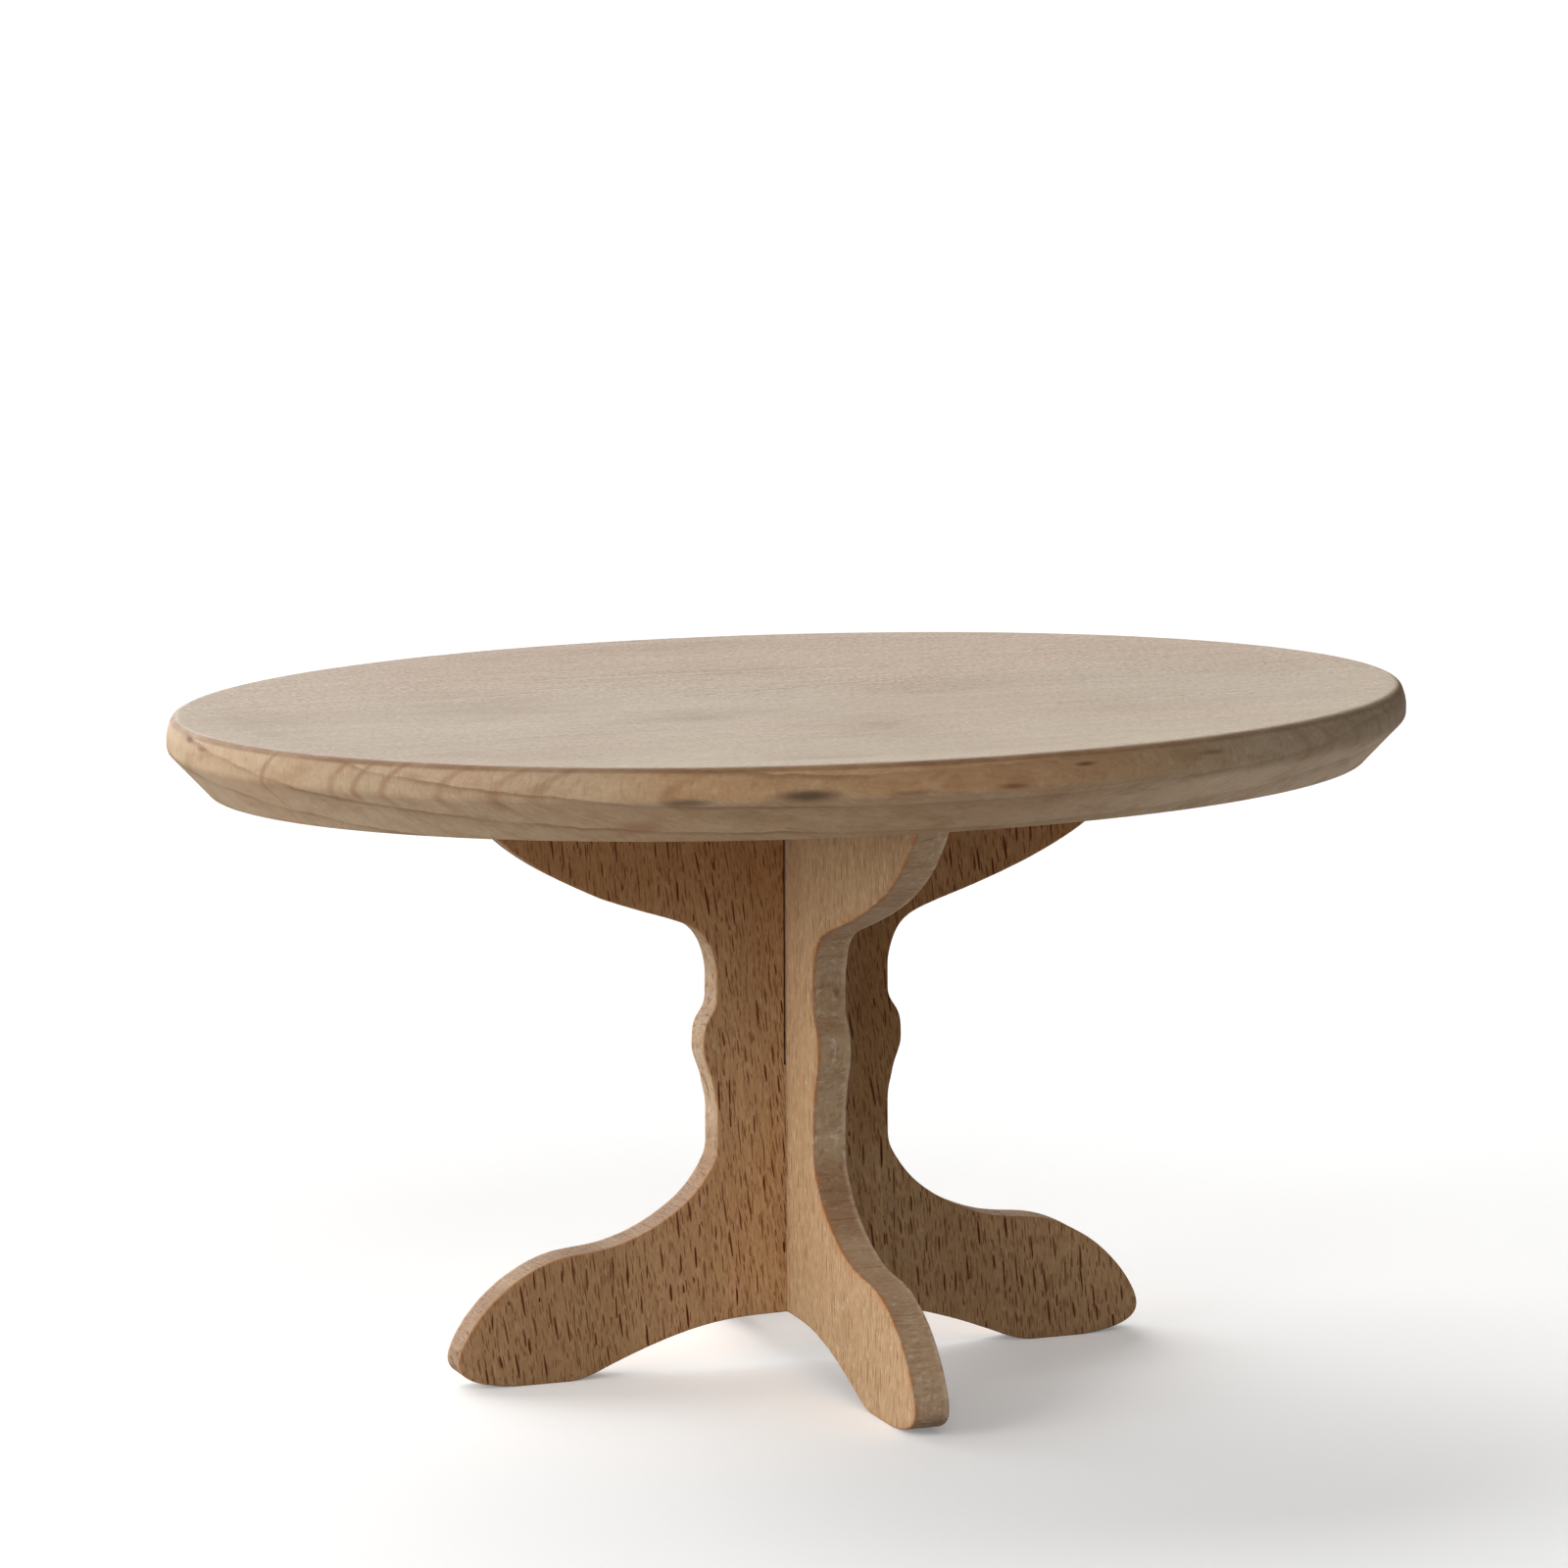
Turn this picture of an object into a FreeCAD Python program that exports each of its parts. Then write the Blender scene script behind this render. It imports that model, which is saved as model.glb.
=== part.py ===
import FreeCAD, Part
import os
import Sketcher

# Dolls' house pedestal dining table, 1:12.
# Three pieces of beech: an oval top with a bevelled underside, and two boards
# with one scrolled outline that cross at right angles in a halving joint.
# Frame: origin on the floor under the middle of the pedestal, +Z up,
# +X along the long axis of the oval, +Y across it. Millimetres.

Vector = FreeCAD.Vector
doc = FreeCAD.newDocument("DollsHouseTable")

# ---------------------------------------------------------------- dimensions
# alias, value, note
DIMENSIONS = [
    ("table_height", 62.0, "floor to top face"),
    ("top_thick", 6.93, "full thickness of the tabletop"),
    ("top_semi_long", 58.36, "outer edge, half of the long axis"),
    ("top_semi_short", 42.30, "outer edge, half of the short axis"),
    ("bevel_in", 3.78, "under-bevel, measured across"),
    ("bevel_up", 4.0, "under-bevel, measured up"),
    ("rim_in", 0.5, "top rim relief, measured across"),
    ("rim_down", 1.5, "top rim relief, measured down"),
    ("rim_round", 0.9, "rounding between top face and rim relief"),
    ("band_round", 3.2, "rounding between rim relief and edge band"),
    ("crease_round", 0.95, "softened crease between band and bevel"),
    ("under_round", 0.4, "softened edge between bevel and underside"),
    ("board_thick", 3.35, "thickness of both pedestal boards"),
    ("board_ease", 0.16, "sanded rounding along the sawn outline"),
    ("lap_z", 28.0, "height of the bottom of the lengthwise slot"),
    ("lap_gap", 0.1, "end clearance of the halving joint"),
    ("slot_slack", 0.18, "side clearance of the lengthwise slot, all on its -X side"),
    ("slot_fit", 0.03, "side clearance of the slots on a tight side"),
    ("slot_overrun", 2.0, "how far the lengthwise slot cut runs above the board head"),
    ("slot_start_z", 1.0, "lower end of the crosswise slot cut, below the arch"),
    ("foot_flat_out", 27.6, "outer end of the flat the foot stands on"),
    ("foot_flat_in", 23.0, "inner end of the flat the foot stands on"),
    ("waist_half", 8.45, "half width of the column at both waists"),
    ("arch_crown", 4.70, "height of the arch between the feet"),
    ("high_wing_clear", 3.75, "how far the high wing cut runs past the wing tip"),
]

# Outline of one half of a board: distance from the middle of the column, then
# height. Each list holds the control points of one cubic B-spline; straight
# waists and the foot flat join them. A word in place of a number is the alias
# of a shared dimension, or "underside" for the bottom face of the tabletop.
OUTLINE = {
    "wing": [(34.25, "underside"), (33.66, 54.16), (32.25, 52.40), (29.95, 50.06),
             (27.22, 48.11), (24.30, 46.57), (21.28, 45.22), (18.13, 44.00),
             (15.15, 42.98), (11.67, 41.91), (9.15, 40.61), ("waist_half", 37.54),
             ("waist_half", 36.80)],
    "knob": [("waist_half", 34.90), ("waist_half", 34.54), (8.47, 33.71), (9.21, 32.79),
             (9.70, 31.77), (9.74, 30.60), (9.79, 29.44), (9.41, 28.36),
             (8.98, 27.29), (8.80, 26.16), (8.49, 25.04), ("waist_half", 24.29),
             ("waist_half", 23.90)],
    "foot": [("waist_half", 21.20), ("waist_half", 20.17), (8.86, 19.08), (10.41, 16.83),
             (12.06, 15.35), (14.17, 13.99), (16.25, 12.99), (18.60, 12.24),
             (20.93, 11.92), (23.34, 11.77), (25.64, 11.06), (27.78, 9.95),
             (29.70, 8.60), (31.47, 6.79), (32.69, 5.11), (34.08, 2.32),
             (32.60, 0.75), (29.76, 0.13), (28.52, 0.0), ("foot_flat_out", 0.0)],
    "arch": [("foot_flat_in", 0.0), (21.65, 0.0), (19.22, 1.05), (15.55, 2.51),
             (11.79, 3.70), (7.90, 4.54), (3.96, 4.71), (1.31, "arch_crown"),
             (0.0, "arch_crown")],
    # the lengthwise board's -X wing is sawn a little higher than the others:
    # this curve runs from below the wing to above the head of the board
    "high_wing": [(17.80, 43.68), (19.29, 44.45), (22.33, 45.80), (26.71, 48.26),
                  (30.52, 51.54), (32.56, 54.21), (33.52, 55.57)],
}


def control_cells():
    """Sheet rows for the control point coordinates that are plain, non-zero numbers."""
    rows = []
    for curve_name, points in OUTLINE.items():
        for i, point in enumerate(points):
            for coordinate, suffix in zip(point, ("across", "height")):
                if not isinstance(coordinate, str) and coordinate != 0.0:
                    alias = "%s_%02d_%s" % (curve_name, i, suffix)
                    rows.append((alias, coordinate, "outline control point"))
    return rows


sheet = doc.addObject("Spreadsheet::Sheet", "dims")
sheet.Label = "dims"
for row, (alias, value, note) in enumerate(DIMENSIONS + control_cells(), 1):
    sheet.set("A%d" % row, alias)
    sheet.set("B%d" % row, repr(float(value)))
    sheet.set("C%d" % row, note)
    sheet.setAlias("B%d" % row, alias)
doc.recompute()


def size(alias):
    return float(sheet.get(alias))


UNDERSIDE = "dims.table_height - dims.top_thick"
z_top = size("table_height")
z_under = z_top - size("top_thick")


# ------------------------------------------------------------------- helpers
def plane(body, role):
    return next(item for item in body.Origin.OriginFeatures if item.Role == role)


def new_body(name):
    body = doc.addObject("PartDesign::Body", name)
    body.Label = name
    return body


def new_sketch(body, name, role):
    sketch = body.newObject("Sketcher::SketchObject", name)
    sketch.AttachmentSupport = [(plane(body, role), "")]
    sketch.MapMode = "FlatFace"
    return sketch


def feature(body, kind, name, **properties):
    item = body.newObject("PartDesign::" + kind, name)
    for key, value in properties.items():
        setattr(item, key, value)
    return item


def drive(sketch, name, expression, *constraint):
    """Add a named dimensional constraint that follows an expression."""
    index = sketch.addConstraint(Sketcher.Constraint(*constraint))
    sketch.renameConstraint(index, name)
    sketch.setExpression("Constraints." + name, expression)


def coordinate_value(coordinate):
    if coordinate == "underside":
        return z_under
    return size(coordinate) if isinstance(coordinate, str) else coordinate


def coordinate_expression(coordinate, own_alias):
    if coordinate == "underside":
        return UNDERSIDE
    return "dims." + (coordinate if isinstance(coordinate, str) else own_alias)


def outline_point(curve_name, index):
    return tuple(coordinate_value(c) for c in OUTLINE[curve_name][index])


def spline(sketch, curve_name, side=1):
    """One cubic B-spline whose control points are tied to the sheet.
    side is -1 for a curve drawn on the negative side of the middle line."""
    points = OUTLINE[curve_name]
    values = [outline_point(curve_name, i) for i in range(len(points))]
    curve = Part.BSplineCurve([Vector(side * across, height, 0) for across, height in values],
                              None, None, False, 3, None, False)
    curve_id = sketch.addGeometry(curve, False)
    first = sketch.GeometryCount
    sketch.exposeInternalGeometry(curve_id)
    poles = [i for i in range(first, sketch.GeometryCount)
             if isinstance(sketch.Geometry[i], Part.Circle)]
    for i, (pole, point, (across, height)) in enumerate(zip(poles, points, values)):
        tag = "%s_%02d" % (curve_name, i)
        if across == 0.0:
            sketch.addConstraint(Sketcher.Constraint("PointOnObject", pole, 3, -2))
        else:
            ends = (-1, 1, pole, 3) if side > 0 else (pole, 3, -1, 1)
            name = tag + "_across"
            drive(sketch, name, coordinate_expression(point[0], name),
                  "DistanceX", *ends, across)
        if height == 0.0:
            sketch.addConstraint(Sketcher.Constraint("PointOnObject", pole, 3, -1))
        else:
            name = tag + "_height"
            drive(sketch, name, coordinate_expression(point[1], name),
                  "DistanceY", -1, 1, pole, 3, height)
    return curve_id


def line(sketch, start, end):
    return sketch.addGeometry(Part.LineSegment(Vector(*start, 0), Vector(*end, 0)), False)


def close_loop(sketch, pieces):
    """Join the end of each piece to the start of the next, and the last to the first."""
    for piece, following in zip(pieces, pieces[1:] + pieces[:1]):
        sketch.addConstraint(Sketcher.Constraint("Coincident", piece, 2, following, 1))


# --------------------------------------------------------------- the tabletop
def oval_blank(body):
    sketch = new_sketch(body, "oval_outline", "XY_Plane")
    sketch.setExpression(".AttachmentOffset.Base.z", UNDERSIDE)
    semi_long, semi_short = size("top_semi_long"), size("top_semi_short")
    oval = sketch.addGeometry(
        Part.Ellipse(Vector(semi_long, 0, 0), Vector(0, semi_short, 0), Vector(0, 0, 0)), False)
    sketch.exposeInternalGeometry(oval)
    long_axis, short_axis = [i for i in range(1, sketch.GeometryCount)
                             if isinstance(sketch.Geometry[i], Part.LineSegment)]
    sketch.addConstraint(Sketcher.Constraint("Coincident", oval, 3, -1, 1))
    sketch.addConstraint(Sketcher.Constraint("Horizontal", long_axis))
    drive(sketch, "long_axis", "2 * dims.top_semi_long", "Distance", long_axis, 2 * semi_long)
    drive(sketch, "short_axis", "2 * dims.top_semi_short", "Distance", short_axis, 2 * semi_short)
    blank = feature(body, "Pad", "oval_board", Profile=sketch, Refine=True)
    blank.setExpression("Length", "dims.top_thick")
    doc.recompute()
    return blank


def rim_edges(shape, height, tolerance):
    """Names of the long edges that lie wholly at one height."""
    found = []
    for i, edge in enumerate(shape.Edges, 1):
        heights = [vertex.Point.z for vertex in edge.Vertexes]
        heights += [point.z for point in edge.discretize(9)]
        level = min(heights) >= height - tolerance and max(heights) <= height + tolerance
        if level and edge.Length > 40.0:
            found.append("Edge%d" % i)
    return found


def semi_long_at(shape, height):
    """Half length of the planar cut through the solid at one height."""
    return max(wire.BoundBox.XMax for wire in shape.slice(Vector(0, 0, 1), height))


def chamfer_rim(body, name, base, height, across, along_edge, inward):
    """Two-distance chamfer of the rim at one height. It is flipped if the
    across distance does not come out on the flat face; inward is +1 or -1,
    the way along Z from that face into the wood."""
    chamfer = body.newObject("PartDesign::Chamfer", name)
    chamfer.Base = (base, rim_edges(base.Shape, height, 0.01))
    chamfer.ChamferType = "Two distances"
    chamfer.setExpression("Size", "dims." + across)
    chamfer.setExpression("Size2", "dims." + along_edge)
    doc.recompute()

    face_semi_long = size("top_semi_long") - size(across)

    def right_way():
        return abs(semi_long_at(chamfer.Shape, height + inward * 0.001) - face_semi_long) < 0.02

    if not right_way():
        chamfer.FlipDirection = True
        doc.recompute()
    if not right_way():
        raise RuntimeError("chamfer " + name)
    return chamfer


def tabletop():
    body = new_body("tabletop")
    last = oval_blank(body)
    last = chamfer_rim(body, "under_bevel", last, z_under, "bevel_in", "bevel_up", 1)
    last = chamfer_rim(body, "rim_relief", last, z_top, "rim_in", "rim_down", -1)
    # name, height of the edge, tolerance on that height, radius
    for name, height, tolerance, radius in (
            ("soft_rim", z_top, 0.01, "rim_round"),
            ("soft_band", z_top - size("rim_down"), 0.02, "band_round"),
            ("soft_crease", z_under + size("bevel_up"), 0.02, "crease_round"),
            ("soft_under", z_under, 0.01, "under_round")):
        names = rim_edges(last.Shape, height, tolerance)
        last = feature(body, "Fillet", name, Base=(last, names))
        last.setExpression("Radius", "dims." + radius)
        doc.recompute()
    body.Tip = last
    doc.recompute()
    return body


# ---------------------------------------------------------- the crossed boards
def both_halves(body, face_role, mirror_role):
    """Half outline (wing, waist, knob, waist, foot, foot flat, arch, middle
    line, head) made solid and mirrored about the middle line."""
    name = body.Label
    sketch = new_sketch(body, name + "_half_outline", face_role)
    wing, knob, foot, arch = [spline(sketch, part) for part in ("wing", "knob", "foot", "arch")]
    head_middle = (0.0, z_under)
    upper_waist = line(sketch, outline_point("wing", -1), outline_point("knob", 0))
    lower_waist = line(sketch, outline_point("knob", -1), outline_point("foot", 0))
    foot_flat = line(sketch, outline_point("foot", -1), outline_point("arch", 0))
    middle = line(sketch, outline_point("arch", -1), head_middle)
    head = line(sketch, head_middle, outline_point("wing", 0))
    close_loop(sketch, [wing, upper_waist, knob, lower_waist, foot, foot_flat,
                        arch, middle, head])
    sketch.addConstraint(Sketcher.Constraint("PointOnObject", middle, 2, -2))
    sketch.addConstraint(Sketcher.Constraint("Horizontal", head))
    doc.recompute()
    half = feature(body, "Pad", name + "_half", Profile=sketch, SideType="Symmetric",
                   Refine=True)
    half.setExpression("Length", "dims.board_thick")
    doc.recompute()
    both = feature(body, "Mirrored", name + "_both_halves", Originals=[half], Refine=True)
    both.MirrorPlane = (plane(body, mirror_role), [""])
    body.Tip = both
    doc.recompute()


def cut_through(body, name, sketch):
    doc.recompute()
    pocket = feature(body, "Pocket", name, Profile=sketch, SideType="Symmetric",
                     Type="Length", Refine=True)
    pocket.setExpression("Length", "2 * dims.board_thick")
    body.Tip = pocket
    doc.recompute()
    return pocket


def cut_slot(body, face_role, opens_up):
    """Slot of the halving joint; returns the cut and its two sides."""
    if opens_up:
        left_clearance = "slot_slack"
        low, low_expression = size("lap_z"), "dims.lap_z"
        high, high_expression = z_under + size("slot_overrun"), UNDERSIDE + " + dims.slot_overrun"
    else:
        left_clearance = "slot_fit"
        low, low_expression = size("slot_start_z"), "dims.slot_start_z"
        high, high_expression = size("lap_z") + size("lap_gap"), "dims.lap_z + dims.lap_gap"
    half_thick = size("board_thick") / 2
    left = -(half_thick + size(left_clearance))
    right = half_thick + size("slot_fit")

    sketch = new_sketch(body, body.Label + "_slot_outline", face_role)
    corners = [(left, low), (right, low), (right, high), (left, high)]
    sides = [line(sketch, corners[i], corners[(i + 1) % 4]) for i in range(4)]
    close_loop(sketch, sides)
    for side in sides[0::2]:
        sketch.addConstraint(Sketcher.Constraint("Horizontal", side))
    for side in sides[1::2]:
        sketch.addConstraint(Sketcher.Constraint("Vertical", side))
    bottom, right_side = sides[:2]
    drive(sketch, "left_side", "dims.board_thick / 2 + dims." + left_clearance,
          "DistanceX", bottom, 1, -1, 1, -left)
    drive(sketch, "right_side", "dims.board_thick / 2 + dims.slot_fit",
          "DistanceX", -1, 1, bottom, 2, right)
    drive(sketch, "slot_low", low_expression, "DistanceY", -1, 1, bottom, 1, low)
    drive(sketch, "slot_high", high_expression, "DistanceY", -1, 1, right_side, 2, high)
    return cut_through(body, body.Label + "_slot", sketch), left, right


def cut_high_wing(body, face_role):
    """Trim the wing on the negative side to its higher curve."""
    sketch = new_sketch(body, body.Label + "_high_wing_outline", face_role)
    curve = spline(sketch, "high_wing", -1)
    first_across, low = outline_point("high_wing", 0)
    last_across, high = outline_point("high_wing", -1)
    outer = outline_point("wing", 0)[0] + size("high_wing_clear")
    top_line = line(sketch, (-last_across, high), (-outer, high))
    outer_line = line(sketch, (-outer, high), (-outer, low))
    low_line = line(sketch, (-outer, low), (-first_across, low))
    close_loop(sketch, [curve, top_line, outer_line, low_line])
    sketch.addConstraint(Sketcher.Constraint("Horizontal", top_line))
    sketch.addConstraint(Sketcher.Constraint("Vertical", outer_line))
    sketch.addConstraint(Sketcher.Constraint("Horizontal", low_line))
    drive(sketch, "clear_of_wing", "dims.wing_00_across + dims.high_wing_clear",
          "DistanceX", outer_line, 1, -1, 1, outer)
    return cut_through(body, body.Label + "_high_wing", sketch)


def sawn_edges(shape, face_role, left, right):
    """Names of the outline edges on both faces, without the glued head and
    the slot between left and right."""
    thickness_axis, width_axis = (1, 0) if face_role == "XZ_Plane" else (0, 1)
    half_thick = size("board_thick") / 2
    above_arch = size("arch_crown") + 0.05

    def same(one, other):
        return abs(one - other) < 1e-4

    names = []
    for i, edge in enumerate(shape.Edges, 1):
        points = edge.discretize(7)
        widths = [point[width_axis] for point in points]
        heights = [point.z for point in points]
        on_face = all(same(abs(point[thickness_axis]), half_thick) for point in points)
        on_head = all(same(z, z_under) for z in heights)
        if not on_face or on_head:
            continue
        straight = (all(same(width, widths[0]) for width in widths)
                    or all(same(z, heights[0]) for z in heights))
        within_slot = (all(left - 0.001 < width < right + 0.001 for width in widths)
                       and all(z > above_arch for z in heights))
        on_slot_side = all(same(abs(width), abs(left)) or same(abs(width), abs(right))
                           for width in widths)
        if (straight and within_slot) or on_slot_side:
            continue
        names.append("Edge%d" % i)
    return names


def scrolled_board(name, face_role, mirror_role, lengthwise):
    """The lengthwise board has its slot open at the top and one high wing."""
    body = new_body(name)
    both_halves(body, face_role, mirror_role)
    sawn, left, right = cut_slot(body, face_role, opens_up=lengthwise)
    if lengthwise:
        sawn = cut_high_wing(body, face_role)
    names = sawn_edges(sawn.Shape, face_role, left, right)
    eased = feature(body, "Fillet", name + "_eased", Base=(sawn, names))
    eased.setExpression("Radius", "dims.board_ease")
    body.Tip = eased
    doc.recompute()
    return body


bodies = [
    tabletop(),
    scrolled_board("lengthwise_board", "XZ_Plane", "YZ_Plane", lengthwise=True),
    scrolled_board("crosswise_board", "YZ_Plane", "XZ_Plane", lengthwise=False),
]

# ----------------------------------------------------------- checks and export
doc.recompute()
failed = [(item.Name, item.State) for item in doc.Objects
          if any(state in ("Invalid", "Error") for state in item.State)]
for body in bodies:
    if body.Shape.isNull() or not body.Shape.isValid() or len(body.Shape.Solids) != 1:
        failed.append((body.Name, "shape"))
if failed:
    raise RuntimeError("failed objects: %r" % failed)
for item in doc.Objects:
    if item.TypeId == "Sketcher::SketchObject" and item.solve() != 0:
        raise RuntimeError("sketch " + item.Name)
for i, body in enumerate(bodies):
    for other in bodies[i + 1:]:
        overlap = body.Shape.common(other.Shape).Volume
        if overlap > 1e-6:
            raise RuntimeError("%s and %s overlap by %g" % (body.Label, other.Label, overlap))

os.makedirs("parts", exist_ok=True)
for body in bodies:
    body.Shape.exportStep("parts/%s.step" % body.Label)
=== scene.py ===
"""Miniature dining table: an oval beech top on two crossed, scroll-sawn beech boards.

Z is up and the floor is z = 0. The oval is longest along X, the lengthwise board runs
along X and the crosswise board along Y. The camera looks from the front (-Y) and left (-X).
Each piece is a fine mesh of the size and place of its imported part, with sanded edges.
Blender works in metres; the shapes and wood figure below are written in millimetres.
"""
import math
from functools import reduce
from types import SimpleNamespace as Look

import bmesh
import bpy
import numpy as np
from mathutils import Matrix, Vector, geometry
from mathutils.kdtree import KDTree


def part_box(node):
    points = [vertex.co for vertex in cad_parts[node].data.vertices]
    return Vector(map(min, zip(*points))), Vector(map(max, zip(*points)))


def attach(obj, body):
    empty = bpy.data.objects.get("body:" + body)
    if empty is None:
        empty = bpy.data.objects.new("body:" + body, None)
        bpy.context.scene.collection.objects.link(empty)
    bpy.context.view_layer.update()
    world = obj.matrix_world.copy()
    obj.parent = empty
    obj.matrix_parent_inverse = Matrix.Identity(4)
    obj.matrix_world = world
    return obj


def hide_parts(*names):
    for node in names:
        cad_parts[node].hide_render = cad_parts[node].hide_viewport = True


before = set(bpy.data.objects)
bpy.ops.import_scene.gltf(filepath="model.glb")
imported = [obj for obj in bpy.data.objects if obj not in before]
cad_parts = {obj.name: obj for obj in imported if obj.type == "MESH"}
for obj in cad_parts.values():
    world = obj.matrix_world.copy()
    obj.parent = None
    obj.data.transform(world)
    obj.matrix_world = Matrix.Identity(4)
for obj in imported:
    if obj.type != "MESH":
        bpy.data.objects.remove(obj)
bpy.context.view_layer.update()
MILLIMETRE = 0.001
SHARP_ANGLE = 32            # degrees; edges that turn more keep a hard shading break


# ------------------------------------------------------------ lines and noise
def bspline(control, count):
    """Points along a clamped uniform cubic B-spline."""
    control = np.asarray(control, float)
    total, degree = len(control), 3
    knots = np.concatenate(
        [np.zeros(degree), np.linspace(0, 1, total - degree + 1), np.ones(degree)])
    points = np.empty((count, 2))
    for i, place in enumerate(np.linspace(0, 1, count)):
        found = int(np.searchsorted(knots, place, side="right")) - 1
        span = min(max(found, degree), total - 1)
        near = list(control[span - degree:span + 1])
        for level in range(1, degree + 1):
            for j in range(degree, level - 1, -1):
                start, end = knots[span - degree + j], knots[span + 1 + j - level]
                weight = 0 if end == start else (place - start) / (end - start)
                near[j] = (1 - weight) * near[j - 1] + weight * near[j]
        points[i] = near[degree]
    return points


def lengths_along(points):
    """Distance of every point from the first, measured along the line."""
    gaps = np.linalg.norm(np.diff(points, axis=0), axis=1)
    return np.concatenate([[0], np.cumsum(gaps)])


def even(points, step):
    """The same line with points at even spacing, its two ends kept."""
    points = np.asarray(points, float)
    known = lengths_along(points)
    count = max(2, int(round(known[-1] / step)) + 1)
    wanted = np.linspace(0, known[-1], count)
    return np.stack([np.interp(wanted, known, points[:, i]) for i in range(2)], 1)


def rounded(corners, radii, step, arc_step=0.12):
    """A polyline whose inner corners are rounded, as closely spaced points."""
    corners = [np.asarray(corner, float) for corner in corners]
    line = [corners[0]]
    for before, corner, after, radius in zip(corners, corners[1:], corners[2:], radii):
        back = (before - corner) / np.linalg.norm(before - corner)
        ahead = (after - corner) / np.linalg.norm(after - corner)
        half_angle = math.acos(float(np.clip(back @ ahead, -1, 1))) / 2
        reach = radius / math.tan(half_angle)
        bisector = (back + ahead) / np.linalg.norm(back + ahead)
        centre = corner + bisector * radius / math.sin(half_angle)
        start = math.atan2(*(corner + back * reach - centre)[::-1])
        end = math.atan2(*(corner + ahead * reach - centre)[::-1])
        turn = (end - start + math.pi) % (2 * math.pi) - math.pi
        count = max(4, int(abs(turn) * radius / arc_step))
        for i in range(count + 1):
            angle = start + turn * i / count
            line.append(centre + radius * np.array([math.cos(angle), math.sin(angle)]))
    line.append(corners[-1])
    points = [line[0]]
    for start, end in zip(line, line[1:]):
        gap = np.linalg.norm(end - start)
        if gap < 1e-6:
            continue
        count = max(1, int(math.ceil(gap / step)))
        for i in range(1, count + 1):
            points.append(start + (end - start) * i / count)
    return np.array(points)


def value_noise(place, seed, octaves=3):
    """Smooth repeatable 1-D noise in -1..1 at a period of about one unit."""
    total, strength, full = np.zeros_like(place), 1.0, 0.0
    for octave in range(octaves):
        table = np.random.default_rng(seed * 31 + octave).uniform(-1, 1, 4096)
        shifted = place * 2 ** octave + 17.3 * octave
        i = np.floor(shifted).astype(int)
        part = shifted - i
        part = part * part * (3 - 2 * part)
        total += strength * (table[i % 4096] * (1 - part) + table[(i + 1) % 4096] * part)
        full += strength
        strength *= 0.5
    return total / full


def plane_noise(x, y, seed):
    """Smooth repeatable 2-D noise in -1..1."""
    table = np.random.default_rng(seed).uniform(-1, 1, (256, 256))
    i, j = np.floor(x).astype(int), np.floor(y).astype(int)
    part_x, part_y = x - i, y - j
    part_x = part_x * part_x * (3 - 2 * part_x)
    part_y = part_y * part_y * (3 - 2 * part_y)

    def row(k):
        return table[i % 256, k % 256] * (1 - part_x) + table[(i + 1) % 256, k % 256] * part_x

    return row(j) * (1 - part_y) + row(j + 1) * part_y


# --------------------------------------------------------------------- pieces
def new_piece(name, verts, faces, ease, node):
    """A smooth mesh object from millimetre points; ease marks its handled edges."""
    mesh = bpy.data.meshes.new(name)
    mesh.from_pydata((np.asarray(verts) * MILLIMETRE).tolist(), [], faces)
    mesh.validate()
    attribute = mesh.attributes.new("ease", "FLOAT", "POINT")
    attribute.data.foreach_set("value", np.asarray(ease, np.float32))
    mesh.polygons.foreach_set("use_smooth", [True] * len(mesh.polygons))
    mesh.update()
    piece = bpy.data.objects.new(name, mesh)
    bpy.context.scene.collection.objects.link(piece)
    mark_sharp(mesh)
    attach(piece, "root")
    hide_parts(node)
    return piece


def mark_sharp(mesh):
    """Harden the shading of edges that turn more than SHARP_ANGLE."""
    shape = bmesh.new()
    shape.from_mesh(mesh)
    limit = math.radians(SHARP_ANGLE)
    for edge in shape.edges:
        edge.smooth = not (len(edge.link_faces) == 2 and edge.calc_face_angle(0) > limit)
    shape.to_mesh(mesh)
    shape.free()


# ------------------------------------------------------------------- tabletop
QUARTER = 132               # points round a quarter of the oval
AROUND = 4 * QUARTER
CAP_RINGS = 26              # rings between the rim and the grid in the middle
CORE_SHARE = 0.62           # size of that grid against the oval
CORE_ROUNDING = 0.55        # 0 is a square grid, 1 a round one
RIM_GIRTH = 318             # nominal length round the rim, for its unevenness
LOWER_RIM = 4.0             # height above the underside where the rim turns inwards


def rim_ease(inset, z, z_low, z_high):
    """How much the three ridges of the rim are handled, at one row of its section."""
    if z > z_high - 1e-3 and inset > 1.2:
        return 0
    ease = 0
    # height, spread and strength of each ridge; the lowest is kept off the underside
    for height, spread, strength in ((z_high - 0.28, 0.22, 1), (z_low + LOWER_RIM, 0.3, 0.8),
                                     (z_low + 0.12, 0.2, 0.8 * (inset < 5))):
        ease += strength * math.exp(-((z - height) / spread) ** 2)
    return ease


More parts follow.
